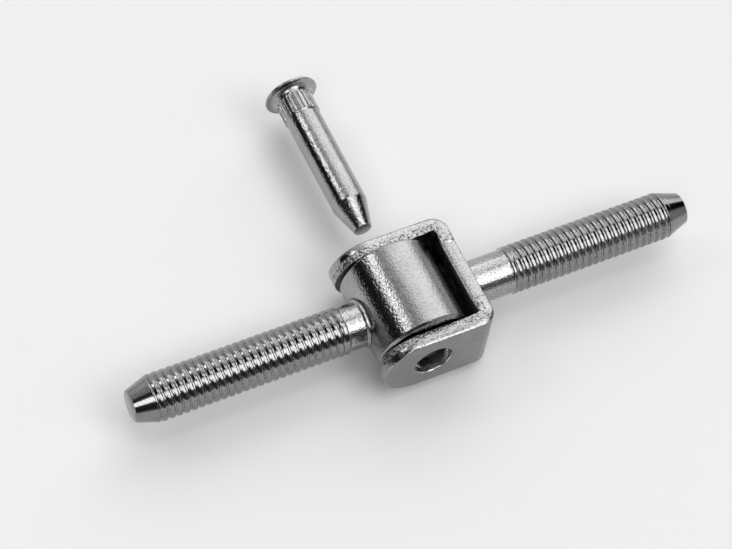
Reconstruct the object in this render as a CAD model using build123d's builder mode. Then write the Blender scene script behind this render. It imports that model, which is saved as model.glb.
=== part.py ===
from build123d import *
from math import sqrt
import os

# Bolt hinge: a fork on a threaded stud, an eye on a second stud, and the knurled pin that joins them.
# All lengths in millimetres. X runs along the studs, Y along the pin, Z is up.
# The origin is where the pin's axis crosses the axis of the two studs.

# fork bracket, a flat bar bent to a U
bar_width = 25.0
bar_thickness = 5.0
ear_gap = 33.0
ear_reach = 17.5
bend_inner_radius = 0.8
bend_outer_radius = 5.4
ear_hole_radius = 6.5
hole_edge_chamfer = 0.4
web_waist_depth = 0.5
web_waist_run = 22.0
bend_bulge_radius = 4.6
bend_bulge_height = 0.6
bend_bulge_chamfer = 0.45

# studs
stud_radius = 8.0
stud_length = 81.0
stud_tip_length = 8.0
stud_tip_radius = 5.3
stud_tip_edge = 0.6
neck_radius = 7.5
neck_shoulder = 0.6
fork_neck_length = 15.0
eye_neck_length = 8.0
spigot_radius = 5.0
spigot_chamfer = 0.5
collar_radius = 8.3
collar_length = 1.2

# eye barrel
barrel_radius = 16.3
barrel_end_clearance = 0.5
barrel_edge_chamfer = 0.9
bore_radius = 6.6
bore_mouth_chamfer = 0.9
stud_flat_depth = 0.9
spigot_depth = 5.5

# clearances, and how far a cut runs past the metal
barrel_to_web = 0.7
overshoot = 1.0

# hinge pin
pin_radius = 6.0
knurl_length = 7.0
knurl_clearance = 0.1
head_seat_clearance = 0.05
knurl_groove_depth = 0.35
knurl_teeth = 24
pin_throat_radius = 2.6
pin_head_radius = 9.4
pin_head_thickness = 1.0
pin_stand_off = 12.5
pin_tip_length = 10.5
pin_tip_radius = 3.2
pin_tip_edge = 0.5
pin_head_edge = 0.35
pin_drawn_out = 66.0

# places that follow from the sizes above
half_gap = ear_gap / 2
ear_face = half_gap + bar_thickness
half_width = bar_width / 2
web_inner = barrel_radius + barrel_to_web
web_outer = web_inner + bar_thickness
barrel_half = half_gap - barrel_end_clearance
flat_face = barrel_radius - stud_flat_depth
knurl_radius = ear_hole_radius - knurl_clearance
ear_arc_center = half_width - ear_reach

os.makedirs("parts", exist_ok=True)


def finish_piece(builder, name):
    """Label a finished piece and write it to its own file."""
    builder.part.label = name
    export_step(builder.part, f"parts/{name}.step")


# fork bracket
with BuildPart() as fork_bracket:
    # the bent bar seen from above: two ears and the web, sharp inside and round outside
    with BuildSketch(Plane.XY.offset(-half_width)) as bar_profile:
        with Locations(((web_outer - ear_reach) / 2, 0)):
            Rectangle(web_outer + ear_reach, 2 * ear_face)
        fillet(bar_profile.vertices().group_by(Axis.X)[-1], bend_outer_radius)
        with BuildSketch(mode=Mode.SUBTRACT) as gap_profile:
            with Locations(((web_inner - ear_reach - overshoot) / 2, 0)):
                Rectangle(web_inner + ear_reach + overshoot, ear_gap)
            fillet(gap_profile.vertices().group_by(Axis.X)[-1], bend_inner_radius)
    extrude(amount=bar_width)

    # the side view gives each ear its round end
    with BuildSketch(Plane.XZ.offset(-ear_face)):
        with Locations((ear_arc_center, 0)):
            Circle(half_width)
        with Locations(((ear_arc_center + web_outer) / 2, 0)):
            Rectangle(web_outer - ear_arc_center, bar_width)
    extrude(amount=2 * ear_face, mode=Mode.INTERSECT)

    # the middle of the web is drawn in a little between its bends
    for side in (-1, 1):
        with BuildSketch(Plane.YZ.offset(web_inner - bar_thickness / 2)):
            with Locations((0, side * (half_width + web_waist_depth))):
                Trapezoid(web_waist_run + 2 * web_waist_depth, 4 * web_waist_depth, 60, rotation=90 - side * 90)
        extrude(amount=2 * bar_thickness, mode=Mode.SUBTRACT)

    # pin holes through both ears, with their outer edges broken
    with BuildSketch(Plane.XZ.offset(-ear_face)):
        Circle(ear_hole_radius)
    extrude(amount=2 * ear_face, mode=Mode.SUBTRACT)
    hole_edges = fork_bracket.edges().filter_by(GeomType.CIRCLE)
    hole_edges = hole_edges.filter_by(lambda edge: abs(edge.radius - ear_hole_radius) < 0.001)
    chamfer(hole_edges.group_by(Axis.Y)[0] + hole_edges.group_by(Axis.Y)[-1], hole_edge_chamfer)

    # the hole in the web that holds the stud's spigot
    with BuildSketch(Plane.YZ.offset(web_inner)):
        Circle(spigot_radius)
    extrude(amount=bar_thickness, mode=Mode.SUBTRACT)

    # bending squeezes metal out of both edges at each inner corner
    for face in (-1, 1):
        edge_plane = Plane(origin=(0, 0, face * half_width), x_dir=(1, 0, 0), z_dir=(0, 0, face))
        with BuildSketch(edge_plane):
            for corner in (-1, 1):
                with Locations((web_inner, corner * half_gap)):
                    Circle(bend_bulge_radius)
            with Locations((web_inner - half_gap, 0)):
                Rectangle(ear_gap, ear_gap, mode=Mode.SUBTRACT)
        extrude(amount=bend_bulge_height)
    swells = fork_bracket.edges().filter_by(GeomType.CIRCLE)
    swells = swells.filter_by(lambda edge: abs(edge.radius - bend_bulge_radius) < 0.001)
    chamfer(swells.group_by(Axis.Z)[0] + swells.group_by(Axis.Z)[-1], bend_bulge_chamfer)
finish_piece(fork_bracket, "fork_bracket")


def stud_outline(seat, neck, spigot_end, collar):
    """Half section of a stud along local X: spigot, collar if there is one, neck, thread and tip."""
    start = seat + collar
    shoulder = seat + neck
    end = seat + stud_length
    points = [(spigot_end, 0), (spigot_end, spigot_radius - spigot_chamfer)]
    points += [(spigot_end + spigot_chamfer, spigot_radius), (seat, spigot_radius)]
    if collar > 0:
        points += [(seat, collar_radius), (start, collar_radius)]
    points += [(start, neck_radius), (shoulder, neck_radius), (shoulder + neck_shoulder, stud_radius)]
    points += [(end - stud_tip_length, stud_radius), (end - stud_tip_edge, stud_tip_radius + stud_tip_edge / 2)]
    points += [(end, stud_tip_radius - stud_tip_edge / 2), (end, 0)]
    return points


# fork stud, riveted through the web
with BuildPart() as fork_stud:
    with BuildSketch(Plane.XY):
        with BuildLine():
            Polyline(*stud_outline(web_outer, fork_neck_length, web_inner, 0), close=True)
        make_face()
    revolve(axis=Axis.X)
finish_piece(fork_stud, "fork_stud")

# eye barrel
with BuildPart() as eye_barrel:
    with BuildSketch(Plane.XZ.offset(-barrel_half)):
        Circle(barrel_radius)
    extrude(amount=2 * barrel_half)
    rims = eye_barrel.edges().filter_by(GeomType.CIRCLE)
    chamfer(rims, barrel_edge_chamfer)
    with BuildSketch(Plane.XZ.offset(-barrel_half)):
        Circle(bore_radius)
    extrude(amount=2 * barrel_half, mode=Mode.SUBTRACT)
    mouths = eye_barrel.edges().filter_by(GeomType.CIRCLE)
    chamfer(mouths.filter_by(lambda edge: abs(edge.radius - bore_radius) < 0.001), bore_mouth_chamfer)
    # spot face and blind hole for the stud
    with BuildSketch(Plane.YZ.offset(-flat_face)):
        Circle(collar_radius + 0.3)
    extrude(amount=-2 * stud_flat_depth, mode=Mode.SUBTRACT)
    with BuildSketch(Plane.YZ.offset(-flat_face)):
        Circle(spigot_radius)
    extrude(amount=spigot_depth, mode=Mode.SUBTRACT)
finish_piece(eye_barrel, "eye_barrel")

# eye stud, seated on the barrel's spot face; its outline is turned to point along -X
with BuildPart() as eye_stud:
    with BuildSketch(Plane(origin=(0, 0, 0), x_dir=(-1, 0, 0), z_dir=(0, 0, 1))):
        with BuildLine():
            outline = stud_outline(flat_face, eye_neck_length, flat_face - spigot_depth, collar_length)
            Polyline(*outline, close=True)
        make_face()
    revolve(axis=Axis.X)
finish_piece(eye_stud, "eye_stud")

# hinge pin, drawn out along +Y; driven home, the throat stops just short of the hole's edge
# under_head is where the throat has swollen into the flat underside of the head
edge_run = knurl_radius + pin_throat_radius - ear_hole_radius
throat_drop = sqrt((pin_throat_radius - head_seat_clearance) ** 2 - edge_run ** 2)
throat_home = ear_face - throat_drop
pin_end = -ear_face - pin_stand_off + pin_drawn_out
throat_end = throat_home + pin_drawn_out
under_head = throat_end + pin_throat_radius
knurl_end = throat_end - knurl_length
head_top = under_head + pin_head_thickness
with BuildPart() as hinge_pin:
    with BuildSketch(Plane.XY):
        with BuildLine():
            Polyline(
                (0, pin_end), (pin_tip_radius - pin_tip_edge, pin_end),
                (pin_tip_radius, pin_end + pin_tip_edge), (pin_radius, pin_end + pin_tip_length),
                (pin_radius, knurl_end - (knurl_radius - pin_radius)), (knurl_radius, knurl_end),
                (knurl_radius, throat_end),
            )
            throat_center = (knurl_radius + pin_throat_radius, throat_end)
            CenterArc(throat_center, pin_throat_radius, 90, 90)
            Polyline(
                (knurl_radius + pin_throat_radius, under_head), (pin_head_radius, under_head),
                (pin_head_radius, head_top - pin_head_edge), (pin_head_radius - pin_head_edge, head_top),
                (0, head_top), (0, pin_end),
            )
        make_face()
    revolve(axis=Axis.Y)
    # straight knurl: V grooves all round between the throat and the shank
    knurl_bottom = Plane(origin=(0, knurl_end - overshoot, 0), z_dir=(0, 1, 0))
    with BuildSketch(knurl_bottom):
        with PolarLocations(knurl_radius, knurl_teeth):
            RegularPolygon(knurl_groove_depth, 4, major_radius=True)
    extrude(amount=knurl_length + overshoot, mode=Mode.SUBTRACT)
finish_piece(hinge_pin, "hinge_pin")
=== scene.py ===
import bpy
import bmesh
import math
from mathutils import Matrix, Vector


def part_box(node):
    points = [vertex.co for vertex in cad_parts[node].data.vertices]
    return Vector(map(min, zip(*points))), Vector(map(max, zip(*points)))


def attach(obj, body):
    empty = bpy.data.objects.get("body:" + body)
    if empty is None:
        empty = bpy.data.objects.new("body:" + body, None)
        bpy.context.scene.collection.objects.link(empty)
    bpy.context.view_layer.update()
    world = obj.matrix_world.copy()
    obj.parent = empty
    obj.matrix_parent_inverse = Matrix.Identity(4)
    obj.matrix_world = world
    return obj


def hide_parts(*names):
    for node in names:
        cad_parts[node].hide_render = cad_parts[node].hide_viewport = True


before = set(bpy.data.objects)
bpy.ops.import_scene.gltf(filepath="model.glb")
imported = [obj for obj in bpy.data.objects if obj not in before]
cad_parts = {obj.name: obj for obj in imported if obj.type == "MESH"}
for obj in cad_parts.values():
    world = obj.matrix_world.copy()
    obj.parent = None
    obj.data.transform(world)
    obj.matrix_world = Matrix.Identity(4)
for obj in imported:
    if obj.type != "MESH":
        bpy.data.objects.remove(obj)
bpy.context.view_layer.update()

mm = 0.001
print("frame loaded")


# shared mesh helpers; lengths are in mm and angles in degrees, unless a note says otherwise

meshWork = {
    "weldDistance": 1e-7,  # in metres
    "sharpAngle": 35.0,
    "supportGap": 0.3,  # from the end of a long run to its extra station
    "supportRun": 1.2,  # the shortest run that gets extra stations
    "cornerSteps": 4,
    "cornerShare": 0.45,  # the most that a rounded corner takes of either run beside it
}


def finishMesh(obj, sharpAngle):
    mesh = obj.data
    mesh.validate()
    bm = bmesh.new()
    bm.from_mesh(mesh)
    bmesh.ops.remove_doubles(bm, verts=bm.verts, dist=meshWork["weldDistance"])
    bmesh.ops.recalc_face_normals(bm, faces=bm.faces)
    bm.to_mesh(mesh)
    bm.free()
    for face in mesh.polygons:
        face.use_smooth = True
    mesh.set_sharp_from_angle(angle=math.radians(sharpAngle))


def makeObject(name, verts, faces, sharpAngle):
    mesh = bpy.data.meshes.new(name)
    mesh.from_pydata([Vector(v) * mm for v in verts], [], faces)
    obj = bpy.data.objects.new(name, mesh)
    bpy.context.scene.collection.objects.link(obj)
    finishMesh(obj, sharpAngle)
    return obj


def cutWith(obj, cutter):
    change = obj.modifiers.new("cut", "BOOLEAN")
    change.operation = "DIFFERENCE"
    change.solver = "EXACT"
    change.object = cutter
    bpy.context.view_layer.objects.active = obj
    bpy.ops.object.modifier_apply(modifier=change.name)
    bpy.data.objects.remove(cutter, do_unlink=True)


def withSupport(stations):
    # two extra stations near the ends of each long run keep its reflections straight
    gap = meshWork["supportGap"]
    result = [stations[0]]
    for (fromAlong, fromRadius), (toAlong, toRadius) in zip(stations, stations[1:]):
        runAlong = toAlong - fromAlong
        runRadius = toRadius - fromRadius
        span = math.hypot(runAlong, runRadius)
        if span > meshWork["supportRun"]:
            for t in (gap / span, 1 - gap / span):
                result.append((fromAlong + runAlong * t, fromRadius + runRadius * t))
        result.append((toAlong, toRadius))
    return result


def evenRadius(along, radius, angle):
    # the same all the way round
    return radius


def alongX(along, across, up):
    return (along, across, up)


def alongY(along, across, up):
    return (across, along, up)


def turnedSurface(name, stations, segments, place, radiusAt=evenRadius, closedEnds=True,
                  sharpAngle=meshWork["sharpAngle"]):
    # stations are (along, radius) pairs; radiusAt may change the radius at an angle
    stations = withSupport(stations)
    verts = []
    faces = []
    for along, radius in stations:
        for k in range(segments):
            angle = 2 * math.pi * k / segments
            r = radiusAt(along, radius, angle)
            verts.append(place(along, r * math.cos(angle), r * math.sin(angle)))
    for i in range(len(stations) - 1):
        a = i * segments
        b = (i + 1) * segments
        for k in range(segments):
            nextK = (k + 1) % segments
            faces.append((a + k, a + nextK, b + nextK, b + k))
    if closedEnds:
        for row in (0, len(stations) - 1):
            centre = len(verts)
            verts.append(place(stations[row][0], 0, 0))
            for k in range(segments):
                faces.append((row * segments + k, row * segments + (k + 1) % segments, centre))
    return makeObject(name, verts, faces, sharpAngle)


def roundCorner(points, corner, radius):
    # replaces one corner of a half section by a small curve
    before, here, after = (Vector(points[corner + k]) for k in (-1, 0, 1))
    toBefore = (before - here).normalized()
    toAfter = (after - here).normalized()
    half = toBefore.angle(toAfter) / 2
    most = meshWork["cornerShare"]
    reach = min(radius / math.tan(half), most * (before - here).length, most * (after - here).length)
    start = here + toBefore * reach
    end = here + toAfter * reach
    curve = []
    for k in range(meshWork["cornerSteps"] + 1):
        t = k / meshWork["cornerSteps"]
        curve.append(tuple(start.lerp(here, t).lerp(here.lerp(end, t), t)))
    return curve


def roundedSection(points, radius):
    # a list of (along, radius) corners with every inner corner rounded
    result = [points[0]]
    for corner in range(1, len(points) - 1):
        result += roundCorner(points, corner, radius)
    result.append(points[-1])
    return result


def edgeStations(steps, along, radius):
    # stations at a small edge, from steps in mm that are counted from its corner
    return [(along + stepAlong, radius + stepRadius) for stepAlong, stepRadius in steps]


# materials: bright zinc plating with a cloudy tone and fine specks in the relief; painted shade darkens the
# colour in the low spots of the speck relief

zinc = {
    "cloudScale": 170.0,  # clouds per metre
    "cloudDetail": 5.0,
    "cloudRange": (0.3, 0.7),
    "cloudTone": (0.90, 1.06),  # times the finish's base
    "cloudGloss": (0.75, 1.3),  # times the finish's roughness
    "speckDetail": 3.0,
    # the specks' values over which the painted shade in the relief's low spots fades out
    "pitShadeRange": (0.34, 0.56),
    "crystalShare": 0.8,  # the crystals' scale, times the specks'
}

# speckScale is in specks per metre, both depths are in mm, and the pit value is how much painted shade
# darkens the low spots of the speck relief
finishes = {
    "bar face": {"base": 0.28, "roughness": 0.28, "speckScale": 2100.0,
                 "speckDepth": 0.020, "grainDepth": 0.015, "paintedPitShade": 0.20},
    "sheared edge": {"base": 0.42, "roughness": 0.16, "speckScale": 1500.0,
                     "speckDepth": 0.070, "grainDepth": 0.02, "paintedPitShade": 0.35},
    "broken edge": {"base": 0.46, "roughness": 0.09, "speckScale": 1300.0,
                    "speckDepth": 0.360, "grainDepth": 0.08, "paintedPitShade": 0.85},
    "thread": {"base": 0.29, "roughness": 0.08, "speckScale": 2100.0,
               "speckDepth": 0.014, "grainDepth": 0.004, "paintedPitShade": 0.30},
    "neck": {"base": 0.42, "roughness": 0.13, "speckScale": 1500.0,
             "speckDepth": 0.080, "grainDepth": 0.015, "paintedPitShade": 0.40},
    "turned": {"base": 0.38, "roughness": 0.10, "speckScale": 1300.0,
               "speckDepth": 0.125, "grainDepth": 0.0, "paintedPitShade": 0.16},
    # the bore's base is lighter than real zinc, a painted light that keeps the walls of the holes from going
    # black in the shade
    "bore": {"base": 0.75, "roughness": 0.16, "speckScale": 1500.0,
             "speckDepth": 0.060, "grainDepth": 0.01, "paintedPitShade": 0.25},
}


def addNode(tree, kind, x, y, **values):
    node = tree.nodes.new(kind)
    node.location = (x, y)
    for key, value in values.items():
        if hasattr(node, key):
            setattr(node, key, value)
        else:
            node.inputs[key].default_value = value
    return node


def mapRange(tree, source, fromRange, toRange, x, y):
    node = addNode(tree, "ShaderNodeMapRange", x, y)
    node.inputs["From Min"].default_value = fromRange[0]
    node.inputs["From Max"].default_value = fromRange[1]
    node.inputs["To Min"].default_value = toRange[0]
    node.inputs["To Max"].default_value = toRange[1]
    tree.links.new(source, node.inputs["Value"])
    return node.outputs["Result"]


def zincMaterial(kind):
    finish = finishes[kind]
    material = bpy.data.materials.new("zinc " + kind)
    material.use_nodes = True
    tree = material.node_tree
    tree.nodes.clear()
    out = addNode(tree, "ShaderNodeOutputMaterial", 900, 0)
    shader = addNode(tree, "ShaderNodeBsdfPrincipled", 600, 0, Metallic=1.0)
    tree.links.new(shader.outputs["BSDF"], out.inputs["Surface"])
    where = addNode(tree, "ShaderNodeTexCoord", -1000, 0)

    clouds = addNode(tree, "ShaderNodeTexNoise", -600, 300,
                     Scale=zinc["cloudScale"], Detail=zinc["cloudDetail"])
    specks = addNode(tree, "ShaderNodeTexNoise", -600, 0,
                     Scale=finish["speckScale"], Detail=zinc["speckDetail"])
    crystals = addNode(tree, "ShaderNodeTexVoronoi", -600, -300,
                       Scale=finish["speckScale"] * zinc["crystalShare"])
    for node in (clouds, specks, crystals):
        tree.links.new(where.outputs["Object"], node.inputs["Vector"])

    tone = mapRange(tree, clouds.outputs["Fac"], zinc["cloudRange"], zinc["cloudTone"], -300, 300)
    # painted shade: the specks that raise the relief also darken the colour where the relief is low
    pitShadeTone = (1.0 - finish["paintedPitShade"], 1.0)
    pitShade = mapRange(tree, specks.outputs["Fac"], zinc["pitShadeRange"], pitShadeTone, -300, 150)
    both = addNode(tree, "ShaderNodeMath", -100, 250, operation="MULTIPLY")
    tree.links.new(tone, both.inputs[0])
    tree.links.new(pitShade, both.inputs[1])
    paint = addNode(tree, "ShaderNodeVectorMath", 100, 250, operation="SCALE")
    paint.inputs[0].default_value = (finish["base"],) * 3
    tree.links.new(both.outputs["Value"], paint.inputs["Scale"])
    tree.links.new(paint.outputs["Vector"], shader.inputs["Base Color"])

    glossRange = [finish["roughness"] * share for share in zinc["cloudGloss"]]
    gloss = mapRange(tree, clouds.outputs["Fac"], zinc["cloudRange"], glossRange, -300, 0)
    tree.links.new(gloss, shader.inputs["Roughness"])

    fine = addNode(tree, "ShaderNodeBump", 100, -250, Strength=1.0, Distance=finish["speckDepth"] * mm)
    tree.links.new(specks.outputs["Fac"], fine.inputs["Height"])
    coarse = addNode(tree, "ShaderNodeBump", 300, -250, Strength=1.0, Distance=finish["grainDepth"] * mm)
    tree.links.new(crystals.outputs["Distance"], coarse.inputs["Height"])
    tree.links.new(fine.outputs["Normal"], coarse.inputs["Normal"])
    tree.links.new(coarse.outputs["Normal"], shader.inputs["Normal"])
    return material


barFace = zincMaterial("bar face")
shearEdge = zincMaterial("sheared edge")
barEdge = zincMaterial("broken edge")
threadZinc = zincMaterial("thread")
neckZinc = zincMaterial("neck")
turnedZinc = zincMaterial("turned")
boreZincPaintedLight = zincMaterial("bore")
print("materials made")


# studs: neck, rolled thread and conical tip

stud = {
    "pitch": 2.55,
    "crest": 8.0,
    "root": 7.45,
    "crestShare": 0.34,  # shares of the pitch, as are both flanks
    "outerFlank": 0.52,
    "innerFlank": 0.12,
    "runOut": 3.0,
    "neck": 7.5,
    "forkNeck": 15.0,
    "eyeNeck": 8.0,
    "collar": 8.3,
    "eyeCollar": 1.2,
    "tipLength": 8.0,
    "tipRadius": 5.3,
    "length": 81.0,
    "threadStop": 0.5,  # from the thread's last station to the stud's end
    "samplesPerTurn": 24,
    "segments": 112,
    "sharpAngle": 50.0,
    # small edges, as steps from their corners
    "collarSeat": [(0.0, -0.15), (0.15, 0.0)],
    "collarFront": [(-0.3, 0.0), (-0.08, -0.12), (0.0, -0.35)],
    "collarFoot": [(0.0, 0.2), (0.2, 0.0)],
    "neckEnd": [(-0.6, 0.0), (-0.25, 0.12)],
    "threadStart": [(-0.05, -0.12)],
    "tipEnd": [(-0.3, 0.0), (-0.1, -0.15), (0.0, -0.4)],
}

barThickness = 5.0  # the fork's flat bar, which its stud is riveted through
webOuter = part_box("fork_stud")[1][0] / mm - stud["length"]
webInner = webOuter - barThickness
eyeSeat = -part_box("eye_stud")[0][0] / mm - stud["length"]


def smoothStep(t):
    t = max(0.0, min(1.0, t))
    return t * t * (3 - 2 * t)


def makeStud(name, seat, neckLength, collarLength, direction):
    # direction is +1 for the fork's stud and -1 for the eye's, seat is where it meets its carrier
    start = seat + neckLength
    end = seat + stud["length"]
    coneStart = end - stud["tipLength"]
    collarEnd = seat + collarLength

    def threadRadius(along, angle):
        # right-handed on both studs, because place() turns the eye's round and doesn't mirror it
        turn = ((along - start) / stud["pitch"] - angle / (2 * math.pi)) % 1.0
        away = abs(turn - 0.5)
        # straight flanks: the one that faces the tip is the wider
        flank = stud["outerFlank"] if turn > 0.5 else stud["innerFlank"]
        t = max(0.0, min(1.0, (away - stud["crestShare"] / 2) / flank))
        depth = t * (stud["crest"] - stud["root"])
        depth *= smoothStep((along - start) / stud["runOut"])
        return stud["crest"] - depth

    def coneRadius(along):
        share = max(0.0, (along - coneStart) / stud["tipLength"])
        return stud["crest"] + (stud["tipRadius"] - stud["crest"]) * share

    def radiusAt(along, radius, angle):
        if along < start:
            return radius
        return min(radius, threadRadius(along, angle), coneRadius(along))

    def place(along, across, up):
        return (direction * along, across, direction * up)

    plain = [(seat, stud["neck"])]
    if collarLength > 0:
        plain = edgeStations(stud["collarSeat"], seat, stud["collar"])
        plain += edgeStations(stud["collarFront"], collarEnd, stud["collar"])
        plain += edgeStations(stud["collarFoot"], collarEnd, stud["neck"])
    plain += edgeStations(stud["neckEnd"], start, stud["neck"])
    plain += edgeStations(stud["threadStart"], start, stud["crest"])
    count = int((end - start) / stud["pitch"] * stud["samplesPerTurn"])
    threadRun = end - stud["threadStop"] - start
    thread = [(start + threadRun * k / count, stud["crest"]) for k in range(count + 1)]
    tip = edgeStations(stud["tipEnd"], end, stud["tipRadius"])
    return turnedSurface(name, plain + thread + tip, stud["segments"], place, radiusAt,
                         sharpAngle=stud["sharpAngle"])


forkStud = makeStud("forkStudThreaded", webOuter, stud["forkNeck"], 0.0, 1)
eyeStud = makeStud("eyeStudThreaded", eyeSeat, stud["eyeNeck"], stud["eyeCollar"], -1)
for piece, node, body, neckEnd in ((forkStud, "fork_stud", "fork", webOuter + stud["forkNeck"]),
                                   (eyeStud, "eye_stud", "eye", eyeSeat + stud["eyeNeck"])):
    piece.data.materials.append(threadZinc)
    piece.data.materials.append(neckZinc)
    for face in piece.data.polygons:
        face.material_index = 1 if abs(face.center.x) < neckEnd * mm else 0
    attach(piece, body)
    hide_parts(node)

# the riveted end of the fork's stud, almost flush with the web's inner face

rivet = {
    "radius": 4.9,
    "stand": 0.04,  # how far it stands proud of the web
    "edge": 0.35,
    "depth": 3.0,  # how far it goes into the web
    "segments": 64,
}

rivetSection = [
    (webInner + rivet["depth"], rivet["radius"]),
    (webInner + rivet["edge"], rivet["radius"]),
    (webInner - rivet["stand"], rivet["radius"] - rivet["edge"]),
]
rivetEnd = turnedSurface("rivetEnd", rivetSection, rivet["segments"], alongX)
rivetEnd.data.materials.append(barFace)
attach(rivetEnd, "fork")
print("studs made")


# eye barrel

barrel = {
    "radius": 16.3,
    "half": 16.0,
    "bore": 6.6,
    "mouth": 0.9,
    "edge": 0.9,
    "round": 0.22,
    "segments": 160,
    "sharpAngle": 30.0,
    "flatRadius": 8.6,  # the spot face that the stud sits on
    "flatSegments": 96,
    "cutterReach": 5.0,
}


def makeBarrel():
    half = barrel["half"]
    bore = barrel["bore"]
    mouth = barrel["mouth"]
    edge = barrel["edge"]
    radius = barrel["radius"]
    # once round the wall's section, from the middle of the bore back to it
    section = [
        (0.0, bore), (-half + mouth, bore), (-half, bore + mouth), (-half, radius - edge),
        (-half + edge, radius), (half - edge, radius), (half, radius - edge),
        (half, bore + mouth), (half - mouth, bore), (0.0, bore),
    ]
    body = turnedSurface("eyeBarrelTurned", roundedSection(section, barrel["round"]),
                         barrel["segments"], alongY, closedEnds=False)
    flat = [(-eyeSeat - barrel["cutterReach"], barrel["flatRadius"]), (-eyeSeat, barrel["flatRadius"])]
    cutWith(body, turnedSurface("spotFaceCutter", flat, barrel["flatSegments"], alongX))
    finishMesh(body, barrel["sharpAngle"])
    return body


eyeBarrel = makeBarrel()
eyeBarrel.data.materials.append(turnedZinc)
eyeBarrel.data.materials.append(boreZincPaintedLight)
for face in eyeBarrel.data.polygons:
    centre = face.center / mm
    # the bore's walls get the lightened bore finish, a painted light against their shade
    inBore = math.hypot(centre.x, centre.z) < barrel["bore"] + barrel["mouth"]
    face.material_index = 1 if inBore else 0
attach(eyeBarrel, "eye")
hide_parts("eye_barrel")
print("barrel made")


# hinge pin

pin = {
    "shank": 6.0,
    "knurl": 6.4,
    "knurlRoot": 5.95,
    "knurlLength": 7.0,
    "knurlLead": 0.5,  # the cone from the shank up to the knurl
    "knurlFade": 0.6,  # the teeth fade out over this much on each side of the throat's start
    "teeth": 24,
    "toothTop": 0.45,  # shares of half a tooth, as is its flank
    "toothFlank": 0.45,
    "throat": 2.6,
    "head": 9.4,
    "headThickness": 1.0,
    "headCentre": 3.0,
    "tipLength": 10.5,
    "tipRadius": 3.2,
    "segmentsPerTooth": 12,
    "steps": 12,  # stations along the knurl, and again round the throat
    "sharpAngle": 32.0,
    # small edges, as steps from their corners
    "tipEnd": [(0.0, -0.5), (0.12, -0.22), (0.4, 0.0)],
    "coneEnd": [(-0.3, -0.05), (0.3, 0.0)],
    "toolLine": [(2.4, 0.0), (2.6, -0.05), (2.8, 0.0)],  # a fine turned line beyond the cone
    "knurlEnd": [(-0.02, -0.12), (0.0, -0.08), (0.25, 0.0)],
    "headUnder": [(0.05, -0.2), (0.25, -0.02)],
    "headTop": [(-0.4, 0.0), (-0.15, -0.12), (-0.02, -0.4), (0.0, -0.8)],
}


def makePin():
    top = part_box("hinge_pin")[1][1] / mm
    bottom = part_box("hinge_pin")[0][1] / mm
    underHead = top - pin["headThickness"]
    throatEnd = underHead - pin["throat"]
    knurlEnd = throatEnd - pin["knurlLength"]
    coneEnd = bottom + pin["tipLength"]
    fadeEnd = throatEnd + pin["knurlFade"]
    steps = pin["steps"]

    def knurlRadius(along, radius, angle):
        if along < knurlEnd or along > fadeEnd:
            return radius
        tooth = abs((angle * pin["teeth"] / (2 * math.pi)) % 1.0 - 0.5) * 2
        depth = smoothStep((tooth - pin["toothTop"]) / pin["toothFlank"]) * (pin["knurl"] - pin["knurlRoot"])
        return radius - depth * smoothStep((fadeEnd - along) / (2 * pin["knurlFade"]))

    stations = edgeStations(pin["tipEnd"], bottom, pin["tipRadius"])
    stations += edgeStations(pin["coneEnd"], coneEnd, pin["shank"])
    stations += edgeStations(pin["toolLine"], coneEnd, pin["shank"])
    stations.append((knurlEnd - pin["knurlLead"], pin["shank"]))
    stations += edgeStations(pin["knurlEnd"], knurlEnd, pin["knurl"])
    for k in range(1, steps + 1):
        stations.append((knurlEnd + pin["knurlLength"] * k / steps, pin["knurl"]))
    # the throat swells into the underside of the head
    for k in range(1, steps + 1):
        turn = math.pi / 2 * k / steps
        along = throatEnd + pin["throat"] * math.sin(turn)
        stations.append((along, pin["knurl"] + pin["throat"] * (1 - math.cos(turn))))
    stations += edgeStations(pin["headUnder"], underHead, pin["head"])
    stations += edgeStations(pin["headTop"], top, pin["head"])
    stations.append((top, pin["headCentre"]))
    return turnedSurface("hingePinTurned", stations, pin["teeth"] * pin["segmentsPerTooth"], alongY,
                         knurlRadius, sharpAngle=pin["sharpAngle"])


hingePin = makePin()
hingePin.data.materials.append(turnedZinc)
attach(hingePin, "pin")
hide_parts("hinge_pin")
print("pin made")


# fork bracket: the bent bar is one strip, made section by section along its path

fork = {
    "halfWidth": 12.5,
    "gap": 33.0,
    "earReach": 17.5,
    "innerBend": 0.8,
    "outerBend": 5.4,
    "bendLead": 0.5,  # from an ear's last station to its bend
    "crown": 0.3,
    "edgeRound": 0.45,
    "edgeMost": 0.3,  # the most that a rounded edge takes of the bar's thickness
    "edgeCurve": [(0.0, 1.0), (0.134, 0.5), (0.5, 0.134), (1.0, 0.0)],  # inward and down, times edgeRound
    "waistDepth": 0.5,
    "waistRun": 11.0,
    "waistStep": 0.35,
    "waistStepShare": 0.45,
    "waistRamp": 3.0,
    "bulge": 0.6,
    "bulgeRun": 3.4,
    "hole": 6.5,
    "holeRound": 0.55,
    "holeOvershoot": 2.0,
    "holeSegments": 96,
    "sharpAngle": 28.0,
    "earEndSteps": 24,
    "earSteps": 16,
    "bendSteps": 16,
    "halfWebSteps": 30,
    "acrossSteps": 6,
    "holeRoundSteps": 5,
    "near": 0.05,  # how near to the web's inner face counts as on it
    "holeMargin": 0.1,  # faces up to this far outside the hole belong to it
    "edgeTilt": 0.35,  # a face whose normal leans this much belongs to the bar's edges
    "brokenShare": 0.5,  # the inner part of a punched edge, which breaks instead of shearing
}


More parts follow.
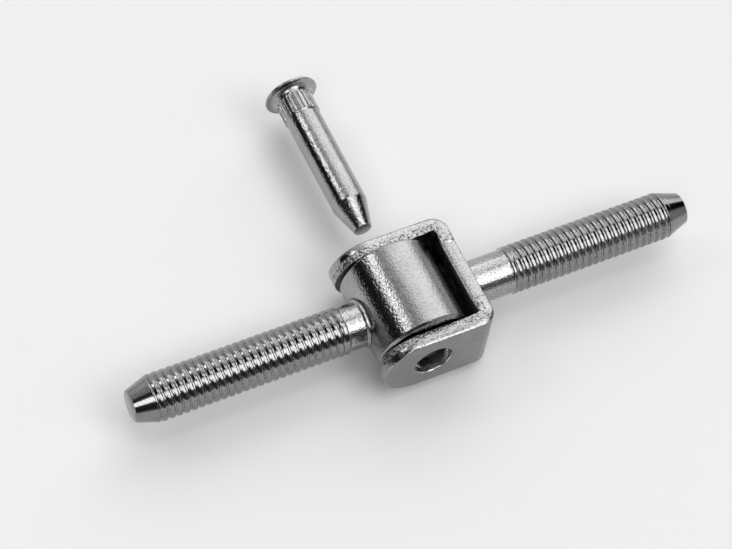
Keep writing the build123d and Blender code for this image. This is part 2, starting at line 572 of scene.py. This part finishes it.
def barPath():
    # pairs of inner and outer points, seen from above, from the far ear's end to the near one's
    halfGap = fork["gap"] / 2
    outerY = halfGap + barThickness
    arcCentre = fork["halfWidth"] - fork["earReach"]
    innerStart = webInner - fork["innerBend"]
    outerStart = webOuter - fork["outerBend"]

    earPlaces = []
    for k in range(fork["earEndSteps"] + 1):
        turn = math.pi / 2 * k / fork["earEndSteps"]
        earPlaces.append(arcCentre - fork["halfWidth"] * math.cos(turn))
    earRun = outerStart - fork["bendLead"] - arcCentre
    for k in range(1, fork["earSteps"] + 1):
        earPlaces.append(arcCentre + earRun * k / fork["earSteps"])
    pairs = [((x, halfGap), (x, outerY)) for x in earPlaces]

    for k in range(fork["bendSteps"] + 1):
        turn = math.pi / 2 * k / fork["bendSteps"]
        along = math.sin(turn)
        inward = 1 - math.cos(turn)
        inner = (innerStart + fork["innerBend"] * along, halfGap - fork["innerBend"] * inward)
        outer = (outerStart + fork["outerBend"] * along, outerY - fork["outerBend"] * inward)
        if k == 0:
            inner = (outerStart, halfGap)
        pairs.append((inner, outer))

    webStart = outerY - fork["outerBend"]
    webPlaces = [webStart * (1 - k / fork["halfWebSteps"]) for k in range(1, fork["halfWebSteps"] + 1)]
    # two more at the end of the waist keep its small step sharp
    webPlaces += [fork["waistRun"], fork["waistRun"] + fork["waistStep"]]
    for y in sorted(webPlaces, reverse=True):
        pairs.append(((webInner, min(y, halfGap - fork["innerBend"])), (webOuter, y)))
    mirrored = [((a[0], -a[1]), (b[0], -b[1])) for a, b in reversed(pairs[:-1])]
    return pairs + mirrored


def waistShare(beyond):
    # full depth up to the waist's end, then a small step and a ramp
    if beyond <= 0:
        return 1.0
    step = min(1.0, beyond / fork["waistStep"]) * fork["waistStepShare"]
    ramp = max(0.0, 1.0 - max(0.0, beyond - fork["waistStep"]) / fork["waistRamp"])
    return (1.0 - step) * ramp


def halfWidthAt(x, y):
    # ear ends are round, the web is drawn in, and the bends swell at the inner corners
    arcCentre = fork["halfWidth"] - fork["earReach"]
    width = fork["halfWidth"]
    if x < arcCentre:
        return math.sqrt(max(width ** 2 - (arcCentre - x) ** 2, 0.0))
    if x > webInner - fork["near"]:
        width -= fork["waistDepth"] * waistShare(abs(y) - fork["waistRun"])
    away = math.hypot(x - webInner, abs(y) - fork["gap"] / 2)
    return width + fork["bulge"] * math.exp(-(away / fork["bulgeRun"]) ** 2)


def barSection(inner, outer):
    # the bar's rounded section at one pair of the path's points: across its top, then back below
    start = Vector(inner)
    across = Vector(outer) - start
    span = across.length
    reach = min(fork["edgeRound"], fork["edgeMost"] * span)
    count = fork["acrossSteps"]
    first = [(reach * inward / span, reach * down) for inward, down in fork["edgeCurve"]]
    middle = [(reach / span + (1 - 2 * reach / span) * k / count, 0.0) for k in range(1, count)]
    last = [(1 - share, drop) for share, drop in reversed(first)]
    row = first + middle + last
    points = []
    for side, sideRow in ((1, row), (-1, row[::-1])):
        for share, drop in sideRow:
            spot = start + across * share
            drop += fork["crown"] * (2 * share - 1) ** 2
            height = max(halfWidthAt(spot.x, spot.y) - drop, 0.0)
            points.append((spot.x, spot.y, side * height))
    return points


def makeBracket():
    verts = []
    rings = []
    for inner, outer in barPath():
        points = barSection(inner, outer)
        rings.append(range(len(verts), len(verts) + len(points)))
        verts += points
    faces = []
    for first, second in zip(rings, rings[1:]):
        for k in range(len(first)):
            j = (k + 1) % len(first)
            faces.append((first[k], first[j], second[j], second[k]))
    faces.append(tuple(reversed(rings[0])))
    faces.append(tuple(rings[-1]))
    return makeObject("forkBracketBent", verts, faces, fork["sharpAngle"])


def holeCutter(ySign):
    # rolled outer rim, sharp punched inner edge
    halfGap = fork["gap"] / 2
    outerY = halfGap + barThickness
    hole = fork["hole"]
    soft = fork["holeRound"]
    stations = [(halfGap - fork["holeOvershoot"], hole), (outerY - soft, hole)]
    for k in range(1, fork["holeRoundSteps"] + 1):
        turn = math.pi / 2 * k / fork["holeRoundSteps"]
        stations.append((outerY - soft + soft * math.sin(turn), hole + soft * (1 - math.cos(turn))))
    stations.append((outerY + fork["holeOvershoot"], hole + soft))
    return turnedSurface("holeCutter", stations, fork["holeSegments"],
                         lambda along, across, up: (across, ySign * along, up))


def barFinish(face):
    # a punched edge is sheared smooth on its outer half and broken on its inner one
    centre = face.center / mm
    # the hole's walls get the lightened bore finish, a painted light against their shade
    if math.hypot(centre.x, centre.z) < fork["hole"] + fork["holeMargin"]:
        return boreZincPaintedLight
    onEarEnd = face.normal.x < -fork["edgeTilt"] and centre.x < 0
    if abs(face.normal.z) <= fork["edgeTilt"] and not onEarEnd:
        return barFace
    # the edge of the waist is pressed flat
    inWaist = centre.x > webInner and abs(centre.y) < fork["waistRun"]
    depth = max(abs(centre.y) - fork["gap"] / 2, centre.x - webInner)
    if depth < barThickness * fork["brokenShare"] and not inWaist:
        return barEdge
    return shearEdge


bracket = makeBracket()
for ySign in (1, -1):
    cutWith(bracket, holeCutter(ySign))
finishMesh(bracket, fork["sharpAngle"])
barFinishes = [barFace, barEdge, shearEdge, boreZincPaintedLight]
for material in barFinishes:
    bracket.data.materials.append(material)
for face in bracket.data.polygons:
    face.material_index = barFinishes.index(barFinish(face))
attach(bracket, "fork")
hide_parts("fork_bracket")
print("bracket made")


# floor, studio light and camera; the world is the only light

studio = {
    "floorTone": 0.83,
    "floorRoughness": 0.9,
    "floorSize": 3.0,  # half its side, in metres
    "tentTone": 0.56,
    # each patch of the tent: direction, radius and soft edge in degrees, tone; later ones lie on top
    "patches": [
        ("back glow", (0.29, 0.82, 0.50), 35, 8, 1.2),
        ("front softbox", (0.33, -0.52, 0.80), 16, 3, 4.4),
        ("eye tip softbox", (-0.42, -0.45, 0.79), 11, 3, 4.4),
        ("left softbox", (-0.52, 0.48, 0.71), 7, 2, 5.5),
        ("left gap", (-0.86, 0.44, 0.28), 22, 5, 0.02),
        ("left gap, low", (-0.88, -0.07, 0.47), 18, 5, 0.03),
        ("right glow", (0.62, 0.44, 0.62), 22, 7, 2.4),
        ("waist glow", (0.29, 0.71, 0.64), 9, 3, 2.8),
        ("top glow", (0.29, 0.44, 0.85), 12, 6, 2.1),
        ("tip softbox", (0.0, 0.0, 1.0), 10, 2, 4.4),
        ("front softbox, high", (0.37, -0.10, 0.92), 10, 3, 3.4),
        ("front gap, low", (0.10, -0.93, 0.33), 18, 3, 0.08),
        ("left gap, high", (-0.56, 0.0, 0.83), 13, 3, 0.02),
        ("eye tip gap", (-0.40, -0.83, 0.38), 17, 3, 0.05),
        ("left gap, front", (-0.80, -0.50, 0.33), 14, 4, 0.03),
        ("right gap, low", (0.90, 0.10, 0.42), 12, 3, 0.01),
        ("right gap, high", (0.78, -0.05, 0.62), 14, 4, 0.01),
    ],
}


def makeFloor():
    low = min(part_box(node)[0][2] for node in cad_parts)
    size = studio["floorSize"]
    tone = studio["floorTone"]
    mesh = bpy.data.meshes.new("floor")
    corners = [(-size, -size, low), (size, -size, low), (size, size, low), (-size, size, low)]
    mesh.from_pydata(corners, [], [(0, 1, 2, 3)])
    floor = bpy.data.objects.new("floor", mesh)
    bpy.context.scene.collection.objects.link(floor)
    material = bpy.data.materials.new("pale floor")
    material.use_nodes = True
    shader = material.node_tree.nodes["Principled BSDF"]
    shader.inputs["Base Color"].default_value = (tone, tone, tone, 1)
    shader.inputs["Roughness"].default_value = studio["floorRoughness"]
    shader.inputs["Specular IOR Level"].default_value = 0.0
    mesh.materials.append(material)


def makeWorld():
    # a grey tent with soft-edged softboxes, glows and dark gaps, blended in one after another
    world = bpy.data.worlds.new("studio tent")
    bpy.context.scene.world = world
    world.use_nodes = True
    tree = world.node_tree
    tree.nodes.clear()
    out = addNode(tree, "ShaderNodeOutputWorld", 1400, 0)
    back = addNode(tree, "ShaderNodeBackground", 1200, 0)
    tree.links.new(back.outputs["Background"], out.inputs["Surface"])
    where = addNode(tree, "ShaderNodeTexCoord", -900, 0)
    tone = addNode(tree, "ShaderNodeValue", -300, 300).outputs["Value"]
    tone.default_value = studio["tentTone"]
    for row, (label, direction, radius, soft, patchTone) in enumerate(studio["patches"]):
        near = addNode(tree, "ShaderNodeVectorMath", -700, -200 * row, operation="DOT_PRODUCT", label=label)
        near.inputs[1].default_value = Vector(direction).normalized()
        tree.links.new(where.outputs["Generated"], near.inputs[0])
        edge = math.cos(math.radians(radius + soft))
        core = math.cos(math.radians(radius - soft))
        share = mapRange(tree, near.outputs["Value"], (edge, core), (0.0, 1.0), -400, -200 * row)
        blend = addNode(tree, "ShaderNodeMix", -100 + 200 * row, -200 * row, data_type="FLOAT")
        blend.inputs["B"].default_value = patchTone
        tree.links.new(share, blend.inputs["Factor"])
        tree.links.new(tone, blend.inputs["A"])
        tone = blend.outputs["Result"]
    tree.links.new(tone, back.inputs["Strength"])


shot = {
    "back": (-0.2936, -0.4357, 0.8508),
    "up": (0.3200, 0.7939, 0.5170),
    "place": (-0.2592, -0.3589, 0.7322),  # in metres
    "focal": 129.6,
    "sensor": 36.0,
    "clipStart": 0.01,  # in metres
}


def makeCamera():
    camera = bpy.data.cameras.new("camera")
    camera.sensor_width = shot["sensor"]
    camera.lens = shot["focal"]
    camera.clip_start = shot["clipStart"]
    holder = bpy.data.objects.new("camera", camera)
    bpy.context.scene.collection.objects.link(holder)
    back = Vector(shot["back"]).normalized()
    up = Vector(shot["up"])
    right = up.cross(back).normalized()
    up = back.cross(right)
    turn = Matrix((right, up, back)).transposed().to_4x4()
    holder.matrix_world = Matrix.Translation(Vector(shot["place"])) @ turn
    bpy.context.scene.camera = holder


makeFloor()
makeWorld()
makeCamera()
bpy.context.scene.view_settings.view_transform = "Standard"
print("studio made")
